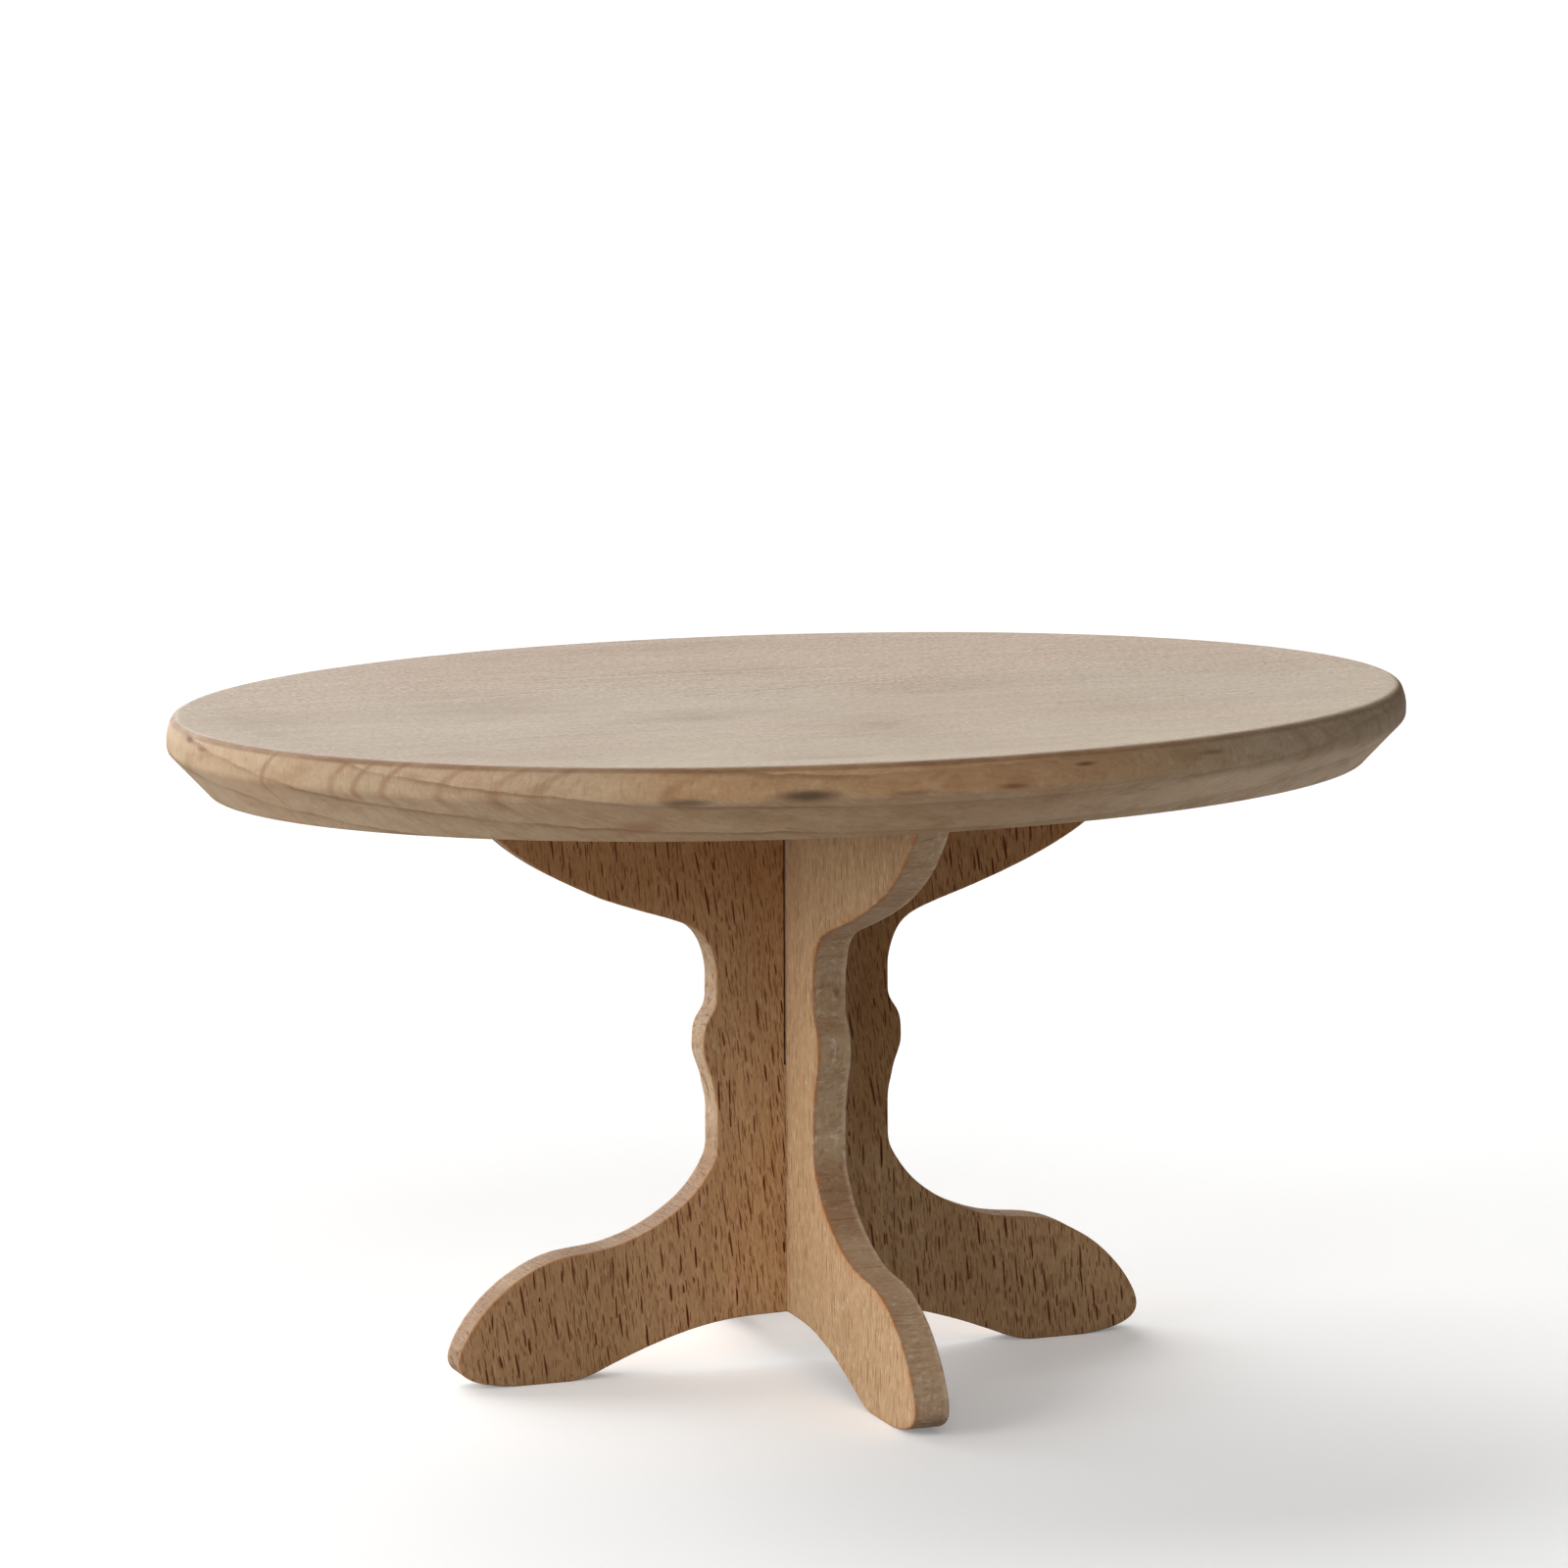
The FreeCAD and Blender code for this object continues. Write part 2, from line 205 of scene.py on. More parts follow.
def cap(edge, first, base, z, half_x, half_y, up, faces):
    """Fill the ring that starts at vertex first; the new points start at vertex base."""
    grid = np.linspace(-1, 1, QUARTER + 1)
    across, along = np.meshgrid(grid, grid, indexing="ij")
    round_x = across * np.sqrt(1 - along * along / 2)
    round_y = along * np.sqrt(1 - across * across / 2)
    square = 1 - CORE_ROUNDING
    core_x = (square * across + CORE_ROUNDING * round_x) * half_x * CORE_SHARE
    core_y = (square * along + CORE_ROUNDING * round_y) * half_y * CORE_SHARE
    border = [(i, 0) for i in range(QUARTER)] + [(QUARTER, j) for j in range(QUARTER)] + \
             [(i, QUARTER) for i in range(QUARTER, 0, -1)] + \
             [(0, j) for j in range(QUARTER, 0, -1)]
    core = np.array([[core_x[i, j], core_y[i, j]] for i, j in border])

    def add_face(*corners):
        faces.append(corners if up else corners[::-1])

    points, outer = [], first
    for ring in range(1, CAP_RINGS + 1):
        inward = ring / CAP_RINGS
        points.append(np.column_stack([edge * (1 - inward) + core * inward, np.full(AROUND, z)]))
        inner = base + (ring - 1) * AROUND
        for k in range(AROUND):
            after = (k + 1) % AROUND
            add_face(outer + k, outer + after, inner + after, inner + k)
        outer = inner
    index = np.empty(across.shape, int)
    for k, (i, j) in enumerate(border):
        index[i, j] = outer + k
    side = QUARTER - 1
    index[1:-1, 1:-1] = base + CAP_RINGS * AROUND + np.arange(side * side).reshape(side, side)
    points.append(np.column_stack([core_x[1:-1, 1:-1].ravel(), core_y[1:-1, 1:-1].ravel(),
                                   np.full(side * side, z)]))
    for i in range(QUARTER):
        for j in range(QUARTER):
            add_face(index[i, j], index[i + 1, j], index[i + 1, j + 1], index[i, j + 1])
    return np.concatenate(points)


def build_tabletop():
    low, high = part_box("tabletop")
    half_x = min(high.x, -low.x) / MILLIMETRE
    half_y = min(high.y, -low.y) / MILLIMETRE
    z_high, z_low = high.z / MILLIMETRE, low.z / MILLIMETRE
    # the rim's section, top to bottom: inset from the outline, height
    section = rounded(
        [(2.6, z_high), (0.5, z_high), (0.0, z_high - 1.5), (0.0, z_low + LOWER_RIM),
         (3.78, z_low), (6.2, z_low)],
        radii=[0.9, 3.2, 0.95, 0.4], step=0.30)
    # starts at a diagonal, to meet the corner of the middle grid
    angle = -0.75 * math.pi + 2 * math.pi * np.arange(AROUND) / AROUND
    normal_x, normal_y = np.cos(angle) / half_x, np.sin(angle) / half_y
    size = np.hypot(normal_x, normal_y)
    arc = angle / (2 * math.pi) * RIM_GIRTH
    # the four tips of the oval stay at full size, so the box is the part's box
    keep = np.minimum(1, np.minimum(np.abs(np.sin(angle)), np.abs(np.cos(angle))) * 14)
    verts, ease = [], []
    for inset, z in section:
        # the hand-sanded rim is never quite even
        uneven = 0.018 * (1 + value_noise(arc / 9, 3)) \
            + 0.008 * (1 + value_noise(arc / 1.7 + z, 4))
        fade = min(1.0, max(0.0, (z_high - z) / 0.6)) * min(1.0, max(0.0, (z - z_low) / 0.6))
        sanded = uneven * fade * keep
        x = half_x * np.cos(angle) - normal_x / size * inset
        y = half_y * np.sin(angle) - normal_y / size * inset
        verts.append(np.stack([x - normal_x / size * sanded, y - normal_y / size * sanded,
                               np.full(AROUND, z)], 1))
        ease.append(np.full(AROUND, rim_ease(inset, z, z_low, z_high)))
    last_row = (len(section) - 1) * AROUND
    faces = []
    for row in range(0, last_row, AROUND):
        for k in range(AROUND):
            after = (k + 1) % AROUND
            faces.append((row + k, row + AROUND + k, row + AROUND + after, row + after))
    verts = np.concatenate(verts)

    upper = cap(verts[:AROUND, :2], 0, len(verts), z_high, half_x, half_y, True, faces)
    # the upper face is very slightly wavy, always downwards and not near the rim
    x, y = upper[:, 0], upper[:, 1]
    drop = 0.022 * (1 + plane_noise(x / 14 + 9, y / 9 + 9, 5)) \
        + 0.010 * (1 + plane_noise(x / 6 + 3, y / 1.6 + 3, 6))
    from_rim = 1 - np.hypot(x / half_x, y / half_y)
    upper[:, 2] -= drop * np.clip(from_rim / 0.06 - 0.8, 0, 1)
    lower = cap(verts[last_row:, :2], last_row, len(verts) + len(upper), z_low,
                half_x, half_y, False, faces)
    ease = np.concatenate(ease + [np.zeros(len(upper) + len(lower))])
    return new_piece("oval_top", np.concatenate([verts, upper, lower]), faces, ease,
                     "tabletop")


# --------------------------------------------------------------------- boards
# B-spline control points of half a board's outline, from the head corner down to the
# arch centre: distance from the board's middle, height. Each board scales them to fit.
WING = [(34.25, 55.07), (33.66, 54.16), (32.25, 52.40), (29.95, 50.06), (27.22, 48.11),
        (24.30, 46.57), (21.28, 45.22), (18.13, 44.00), (15.15, 42.98), (11.67, 41.91),
        (9.15, 40.61), (8.45, 37.54), (8.45, 36.80)]
KNOB = [(8.45, 34.90), (8.45, 34.54), (8.47, 33.71), (9.21, 32.79), (9.70, 31.77),
        (9.74, 30.60), (9.79, 29.44), (9.41, 28.36), (8.98, 27.29), (8.80, 26.16),
        (8.49, 25.04), (8.45, 24.29), (8.45, 23.90)]
FOOT = [(8.45, 21.20), (8.45, 20.17), (8.86, 19.08), (10.41, 16.83), (12.06, 15.35),
        (14.17, 13.99), (16.25, 12.99), (18.60, 12.24), (20.93, 11.92), (23.34, 11.77),
        (25.64, 11.06), (27.78, 9.95), (29.70, 8.60), (31.47, 6.79), (32.69, 5.11),
        (34.08, 2.32), (32.60, 0.75), (29.76, 0.13), (28.52, 0.0), (27.6, 0.0)]
ARCH = [(23.0, 0.0), (21.65, 0.0), (19.22, 1.05), (15.55, 2.51), (11.79, 3.70),
        (7.90, 4.54), (3.96, 4.71), (1.31, 4.70), (0.0, 4.70)]
# the lengthwise board's -X wing, sawn a little higher; middle to head
HIGH_WING = [(17.80, 43.68), (19.29, 44.45), (22.33, 45.80), (26.71, 48.26), (30.52, 51.54),
             (32.56, 54.21), (33.52, 55.57)]
DRAWN_REACH, DRAWN_TOP = WING[0]
LAP_Z, LAP_GAP = 28.0, 0.1              # where the boards' slots meet, and the gap there
SLOT_SLACK, SLOT_FIT = 0.18, 0.03       # loose and close clearance beside the other board
CURVE_STEP, STRAIGHT_STEP = 0.30, 0.6   # point spacing on sawn curves and straight cuts
SANDED_RADIUS, CRISP_RADIUS = 0.17, 0.035
ARC_ROWS, DEPTH_STEPS = 5, 7            # rows over a rounded edge and through the thickness
FACE_PITCH = 1.0                        # spacing of the mesh on the broad faces


def straight(*corners):
    """Crisp straight cuts from corner to corner."""
    return [(even(pair, STRAIGHT_STEP), 1) for pair in zip(corners, corners[1:])]


def join(lines):
    """One line from several that meet end to end."""
    return np.concatenate([lines[0]] + [line[1:] for line in lines[1:]])


def board_outline(reach, top, half, slot_up):
    """The closed outline, anticlockwise with z up, and 1 where it is cut crisp."""
    def scaled(points):
        return points * (reach / DRAWN_REACH, top / DRAWN_TOP)

    wing, knob, foot, arch = [scaled(bspline(control, count)) for control, count in
                              ((WING, 400), (KNOB, 400), (FOOT, 600), (ARCH, 400))]
    below_wing = [even(line, CURVE_STEP) for line in (
        [wing[-1], knob[0]], knob, [knob[-1], foot[0]], foot, [foot[-1], arch[0]], arch)]
    right = join([even(wing, CURVE_STEP)] + below_wing)
    slot_right = half + SLOT_FIT
    if slot_up:
        slot_left = -(half + SLOT_SLACK)
        high = scaled(bspline(HIGH_WING, 600))
        curve = np.array([
            (x, max(z, float(np.interp(x, high[:, 0], high[:, 1]))) if x > high[0, 0] else z)
            for x, z in scaled(bspline(WING, 1600))])
        tip = float(np.interp(top, high[:, 1], high[:, 0]))
        curve = np.vstack([[(tip, top)], curve[(curve[:, 1] < top - 0.02) & (curve[:, 0] < tip)]])
        left = join([even(curve, CURVE_STEP)] + below_wing)[::-1] * (-1, 1)
        parts = straight((slot_right, LAP_Z), (slot_right, top), (reach, top)) \
            + [(right, 0), (left, 0)] \
            + straight((-tip, top), (slot_left, top), (slot_left, LAP_Z), (slot_right, LAP_Z))
    else:
        slot_left, slot_top = -slot_right, LAP_Z + LAP_GAP
        arch_z = float(np.interp(slot_right, arch[::-1, 0], arch[::-1, 1]))
        # the slot takes the middle out of the arch
        right = np.array([point for point in right
                          if not (point[1] < 6 and point[0] <= slot_right + 0.05)]
                         + [np.array([slot_right, arch_z])])
        parts = straight((-reach, top), (reach, top)) + [(right, 0)] \
            + straight((slot_right, arch_z), (slot_right, slot_top),
                       (slot_left, slot_top), (slot_left, arch_z)) \
            + [(right[::-1] * (-1, 1), 0)]
    loop = np.concatenate([line[:-1] for line, _ in parts])
    crisp = np.concatenate([np.full(len(line) - 1, float(flag)) for line, flag in parts])
    return loop[::-1], crisp[::-1]


def outward(loop):
    """Offset directions of a closed loop, lengthened at corners to keep the offset even."""
    ahead = np.roll(loop, -1, 0) - loop
    ahead /= np.linalg.norm(ahead, axis=1)[:, None]
    normal = np.stack([ahead[:, 1], -ahead[:, 0]], 1)
    bisector = normal + np.roll(normal, 1, 0)
    bisector /= np.linalg.norm(bisector, axis=1)[:, None]
    stretch = 1 / np.clip((bisector * normal).sum(1), 0.45, 1)
    return bisector * stretch[:, None]


def beside(values):
    """The mean of each value's two neighbours round a loop."""
    return (np.roll(values, 1) + np.roll(values, -1)) / 2


def inside(points, ring):
    """Which points lie inside the closed ring."""
    x, y = points[:, 0][:, None], points[:, 1][:, None]
    x0, y0 = ring[:, 0][None], ring[:, 1][None]
    x1, y1 = np.roll(ring[:, 0], -1)[None], np.roll(ring[:, 1], -1)[None]
    rise = np.where(y1 == y0, 1e-12, y1 - y0)
    cross = ((y0 > y) != (y1 > y)) & (x < (x1 - x0) * (y - y0) / rise + x0)
    return cross.sum(1) % 2 == 1


def fill_ring(ring, reach, top):
    """An even triangle mesh inside the ring: points, their sources, triangles."""
    columns = np.arange(-reach, reach, FACE_PITCH)
    levels = np.arange(0, top, FACE_PITCH * 0.866)
    points = np.array([(x + (j % 2) * FACE_PITCH / 2, z)
                       for j, z in enumerate(levels) for x in columns])
    points = points[inside(points, ring)]
    tree = KDTree(len(ring))
    for i, (x, z) in enumerate(ring):
        tree.insert((x, z, 0), i)
    tree.balance()
    points = [(x, z) for x, z in points if tree.find((x, z, 0))[2] > 0.5]
    everything = [Vector(point) for point in list(ring) + points]
    filled, _, triangles, sources, _, _ = geometry.delaunay_2d_cdt(
        everything, [], [list(range(len(ring)))], 1, 1e-6)
    return filled, sources, triangles


def build_board(name, node, along, slot_up, seed):
    """One scrolled board. along is 0 if it runs along X and 1 if along Y."""
    low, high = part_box(node)
    across = 1 - along
    reach = high[along] / MILLIMETRE
    half = (high[across] - low[across]) / MILLIMETRE / 2
    top = high.z / MILLIMETRE
    loop, crisp = board_outline(reach, top, half, slot_up)
    count = len(loop)
    out = outward(loop)
    walk = lengths_along(loop)
    for _ in range(2):
        crisp = np.maximum(crisp, beside(crisp) * 0.9)
    sawn = 1 - crisp
    sanded = SANDED_RADIUS * (1 + 0.30 * value_noise(walk / 5, seed + 1)
                              + 0.15 * value_noise(walk / 0.9, seed + 5))
    radius = sanded * sawn + CRISP_RADIUS * crisp
    # saw and sanding marks on the sawn edges, always inwards and never at the box's sides
    ripple = (0.006 * (1 + value_noise(walk / 0.55, seed + 2, 2))
              + 0.010 * (1 + value_noise(walk / 5, seed + 3))) * sawn
    at_box = (loop[:, 1] < 0.02) | (np.abs(loop[:, 0]) > reach - 0.25)
    ripple = np.where(at_box, 0, ripple)
    for _ in range(3):
        ripple = np.minimum(ripple, beside(ripple) + 0.01)

    # rows through the thickness: inset, depth, ease
    arris = []
    for i in range(ARC_ROWS + 1):
        angle = math.pi / 2 * i / ARC_ROWS
        arris.append((radius * (1 - math.sin(angle)), half - radius * (1 - math.cos(angle)),
                      1.0 if i else 0.35))
    flat = [(np.zeros(count), (half - radius) * (1 - 2 * i / DEPTH_STEPS), 0.0)
            for i in range(1, DEPTH_STEPS)]
    rows = arris + flat + [(inset, -depth, worn) for inset, depth, worn in reversed(arris)]

    def stand(points, depth):
        """Place flat points in the board's plane, depth off its middle."""
        placed = np.zeros((len(points), 3))
        placed[:, along], placed[:, 2], placed[:, across] = points[:, 0], points[:, 1], depth
        return placed

    verts, ease = [], []
    for i, (inset, depth, worn) in enumerate(rows):
        inner = 1 - np.abs(depth) / half
        rough = 0.010 * (1 + value_noise(walk / 1.3 + 0.465 * i, seed + 9, 2)) * sawn \
            * (~at_box) * np.clip(inner * 4, 0, 1)
        verts.append(stand(loop - out * (inset + ripple + rough)[:, None], depth))
        ease.append(worn * sawn)
    verts, ease = np.concatenate(verts), np.concatenate(ease)
    flip = along == 1
    last_row = (len(rows) - 1) * count
    faces = []
    for row in range(0, last_row, count):
        for k in range(count):
            after = (k + 1) % count
            face = (row + k, row + after, row + count + after, row + count + k)
            faces.append(face if flip else face[::-1])

    ring = loop - out * (radius + ripple)[:, None]
    filled, sources, triangles = fill_ring(ring, reach, top)
    for side, first in ((half, 0), (-half, last_row)):
        where, extra = [], []
        for point, source in zip(filled, sources):
            if source and source[0] < count:
                where.append(first + source[0])
            else:
                where.append(len(verts) + len(extra))
                extra.append(point)
        for triangle in triangles:
            face = tuple(where[k] for k in triangle)
            if len(set(face)) == 3:
                faces.append(face[::-1] if (side > 0) == flip else face)
        verts = np.concatenate([verts, stand(np.array(extra), side)])
        ease = np.concatenate([ease, np.zeros(len(extra))])
    return new_piece(name, verts, faces, ease, node)


# --------------------------------------------------------------- shader trees
class Signal:
    """A shader value that combines with other signals and with numbers."""

    def __init__(self, net, socket):
        self.net, self.socket = net, socket

    def __add__(self, other): return self.net.math("ADD", self, other)
    def __radd__(self, other): return self.net.math("ADD", other, self)
    def __sub__(self, other): return self.net.math("SUBTRACT", self, other)
    def __rsub__(self, other): return self.net.math("SUBTRACT", other, self)
    def __mul__(self, other): return self.net.math("MULTIPLY", self, other)
    def __rmul__(self, other): return self.net.math("MULTIPLY", other, self)
    def __truediv__(self, other): return self.net.math("DIVIDE", self, other)
    def __pow__(self, other): return self.net.math("POWER", self, other)
    def __abs__(self): return self.net.math("ABSOLUTE", self)

    def clamp(self):
        """Held within 0..1."""
        return self.net.math("ADD", self, 0.0, clamp=True)

    def ramp(self, start, end):
        """Smoothly from 0 where the signal is start to 1 where it is end."""
        return self.net.make("ShaderNodeMapRange", {0: self, 1: start, 2: end},
                             interpolation_type="SMOOTHSTEP", clamp=True)

    def swing(self, width):
        """A 0..1 noise centred on 0 and spread over width."""
        return (self - 0.5) * width

    def at_least(self, least):
        """0..1 squeezed into least..1."""
        return self * (1 - least) + least


class Net:
    """Short names for building a shader tree."""

    def __init__(self, material):
        material.use_nodes = True
        self.tree = material.node_tree
        self.tree.nodes.clear()

    def node(self, kind, inputs=None, **props):
        """A node with its properties, then its inputs, set or linked."""
        node = self.tree.nodes.new(kind)
        for key, value in props.items():
            setattr(node, key, value)
        for key, value in (inputs or {}).items():
            if isinstance(value, Signal):
                self.tree.links.new(value.socket, node.inputs[key])
            elif isinstance(value, tuple):
                node.inputs[key].default_value = (*value, 1.0)
            else:
                node.inputs[key].default_value = value
        return node

    def make(self, kind, inputs=None, output=0, **props):
        """One output of a new node."""
        return Signal(self, self.node(kind, inputs, **props).outputs[output])

    def math(self, kind, first, second=None, clamp=False):
        inputs = {0: first} if second is None else {0: first, 1: second}
        return self.make("ShaderNodeMath", inputs, operation=kind, use_clamp=clamp)

    def high(self, first, second):
        return self.math("MAXIMUM", first, second)

    def vec(self, x, y, z):
        return self.make("ShaderNodeCombineXYZ", {0: x, 1: y, 2: z})

    def split(self, vector):
        node = self.node("ShaderNodeSeparateXYZ", {0: vector})
        return [Signal(self, output) for output in node.outputs]

    def noise(self, vector, scale=1.0, detail=2, rough=0.5, colour=False):
        inputs = {"Vector": vector, "Scale": scale, "Detail": detail, "Roughness": rough}
        return self.make("ShaderNodeTexNoise", inputs, "Color" if colour else "Fac")

    def cloud(self, place, size, shift=(0, 0, 0), **options):
        """Noise with features of the given size in mm along each axis, moved by shift.
        Where a size is None that axis is fixed at its shift."""
        parts = []
        for coord, length, move in zip(place, size, shift):
            part = move if length is None else coord / length
            parts.append(part + move if length is not None and move else part)
        return self.noise(self.vec(*parts), **options)

    def clouds(self, place, size, **options):
        """Three unrelated clouds."""
        return self.split(self.cloud(place, size, colour=True, **options))

    def cells(self, vector):
        """Position, random colour and distance of the nearest cell centre."""
        node = self.node("ShaderNodeTexVoronoi", {"Vector": vector, "Scale": 1.0})
        return [Signal(self, node.outputs[key]) for key in ("Position", "Color", "Distance")]

    def mix(self, amount, first, second, blend="MIX"):
        return self.make("ShaderNodeMix", {0: amount, 6: first, 7: second}, 2,
                         data_type="RGBA", blend_type=blend)

    def tint(self, amount, colour, factor):
        """The colour multiplied by factor, as far as amount says."""
        return self.mix(amount, colour, self.mix(1.0, colour, factor, "MULTIPLY"))


def srgb(*levels):
    """A linear colour from 0-255 display values."""
    shares = [level / 255 for level in levels]
    return tuple(share / 12.92 if share <= 0.04045 else ((share + 0.055) / 1.055) ** 2.4
                 for share in shares)


def near_segment(net, x, y, start, end, width):
    """1 on the line from start to end in the plane, 0 further off than width."""
    run_x, run_y = end[0] - start[0], end[1] - start[1]
    square = run_x * run_x + run_y * run_y
    share = (((x - start[0]) * run_x + (y - start[1]) * run_y) * (1 / square)).clamp()
    off_x, off_y = x - start[0] - share * run_x, y - start[1] - share * run_y
    return net.math("SQRT", off_x * off_x + off_y * off_y).ramp(width, width * 0.15)


def blob(net, xyz, centre, radii):
    """1 at the centre of an ellipsoid, 0 outside it."""
    x, y, z = [(coord - middle) / radius for coord, middle, radius in zip(xyz, centre, radii)]
    return net.math("SQRT", x * x + y * y + z * z).ramp(1.0, 0.15)


# ----------------------------------------------------------------- beech wood
# A place in the wood is (radial, side, grain): across the growth rings, along them, and
# along the fibres. Sizes are in mm.
WANDER = 3.2                # how far the grain wanders sideways
RAY_TILT = 0.14             # spread of the rays' lean against the fibres


def rays(net, wood, cell, half_width, half_length, share, seed):
    """Wood rays: sheets that run radially, thin sideways and short along the grain.
    Cut across they are small dark dashes, cut lengthwise they are broad flakes.
    Returns how strongly a point lies in one, 0..1, with each ray's own strength."""
    radial, side, grain = wood
    point = net.vec(radial / cell[0] + seed, side / cell[1] + seed * 1.7,
                    grain / cell[2] + seed * 0.6)
    centre, colour, _ = net.cells(point)
    _, point_side, point_grain = net.split(point)
    _, centre_side, centre_grain = net.split(centre)
    random_length, random_width, random_tilt = net.split(colour)
    off_grain = (point_grain - centre_grain) * cell[2]
    off_side = (point_side - centre_side) * cell[1] + off_grain * random_tilt.swing(RAY_TILT)
    along = abs(off_grain) / (half_length * (random_length * 0.9 + 0.5))
    room = (1.0 - along * along).clamp()
    # tapered towards both ends, never thinner than a hair
    width = half_width * (random_width * 0.8 + 0.6) * room ** 0.6 + 0.004
    body = (abs(off_side) / width).ramp(1.25, 0.45)
    ends = room.ramp(0.0, 0.2)
    present = random_tilt.ramp(share, share - 0.04)
    return body * ends * present * random_width.at_least(0.55)


def add_rays(net, colour, height, wood, faces, seed, look):
    """Large and small rays, faint where the wood is cut along them or across the grain."""
    side_face, end_face = faces
    big = rays(net, wood, look.cell, look.half_width, look.half_length, look.share, seed)
    radial, side, grain = look.cell
    small = rays(net, wood, (radial * 0.8, side * 0.55, grain * 0.55), look.half_width * 0.72,
                 look.half_length * 0.5, look.small_share, seed + 5.5)
    dash = 1.0 - side_face * 0.80
    not_end = 1.0 - end_face * 0.55
    colour = net.mix(small * look.ray * look.small * dash * not_end, colour, look.ray_mid)
    colour = net.mix(big * look.ray * dash * not_end, colour, look.ray_dark)
    return colour, height - big * 0.6 - small * 0.3, big


def fibre_figure(net, wood, seed, look):
    """Tone and relief of the fibres, from broad zones down to fine streaks."""
    zone = net.cloud(wood, (22, 13, 45), (3.1 * seed, 0, 0), rough=0.55)
    band = net.cloud(wood, (1.9, 1.5, 70), (0, seed, 0), detail=3, rough=0.6)
    fibre = net.cloud(wood, (0.30, 0.16, 2.6), (0, 0, seed), detail=3, rough=0.65)
    fine = net.cloud(wood, (0.12, 0.075, 0.75), (0, 0, seed), rough=0.6)
    tone = zone.swing(look.zone) + band.swing(look.band) + fibre.swing(look.fibre) \
        + fine.swing(look.fine) + 0.5
    colour = net.mix(tone.clamp(), look.dark, look.light)
    # a warmer, pinker cast in places
    cast = net.cloud(wood, (9, 9, 28), (7 * seed, 0, 0))
    colour = net.mix(cast.ramp(0.45, 0.72) * look.pink, colour, look.warm)
    # woolly short streaks between the rays, dark and pale
    wool = net.cloud(wood, (0.9, 0.17, 1.25), (0, 3 * seed, 0), rough=0.55)
    pale = net.cloud(wood, (0.9, 0.20, 1.0), (9, 5 * seed, 0), rough=0.55)
    colour = net.mix(wool.ramp(0.53, 0.70) * look.wool, colour, look.ray_mid)
    colour = net.mix(pale.ramp(0.55, 0.72) * look.pale, colour, look.glint)
    height = fibre.swing(0.35) + fine.swing(0.25) - wool.ramp(0.53, 0.70) * 0.15
    return colour, height, fibre


def sawn_edges(net, colour, height, sawn, wood, xyz, seed, look):
    """The boards' sawn edges are greyer and fuzzier than their planed faces."""
    z = xyz[2]
    fuzz = net.cloud(xyz, (0.5, 0.5, 0.35), detail=3, rough=0.6)
    bands = net.cloud(wood, (4, 1.2, 0.9), (0, 0, 2 * seed), detail=3, rough=0.6)
    edge = net.mix(1.0, colour, look.sawn, "MULTIPLY")
    edge = net.mix(bands.ramp(0.50, 0.72) * 0.40, edge, look.sawn_dark)
    edge = net.mix(fuzz.ramp(0.52, 0.75) * 0.22, edge, look.glint)
    stain = net.cloud(xyz, (6, 6, 3.2), (0, 0, seed))
    uneven_z = z + stain.swing(5)
    # a darker belt over the feet, loose stains, and dark toes
    scar = uneven_z.ramp(12.6, 15.2) * uneven_z.ramp(22.0, 18.6)
    edge = net.tint(scar * look.scar, edge, (0.72, 0.62, 0.57))
    edge = net.tint(stain.ramp(0.50, 0.66) * 0.45, edge, (0.80, 0.74, 0.70))
    toe = net.high(z.ramp(11.0, 8.0), uneven_z.ramp(26.0, 20.0) * 0.55) * look.toe
    edge = net.tint(toe, edge, (0.62, 0.60, 0.60))
    height = height + sawn * (fuzz - 0.5) * 1.1 + sawn * (bands - 0.5) * 0.5
    return net.mix(sawn, colour, edge), height


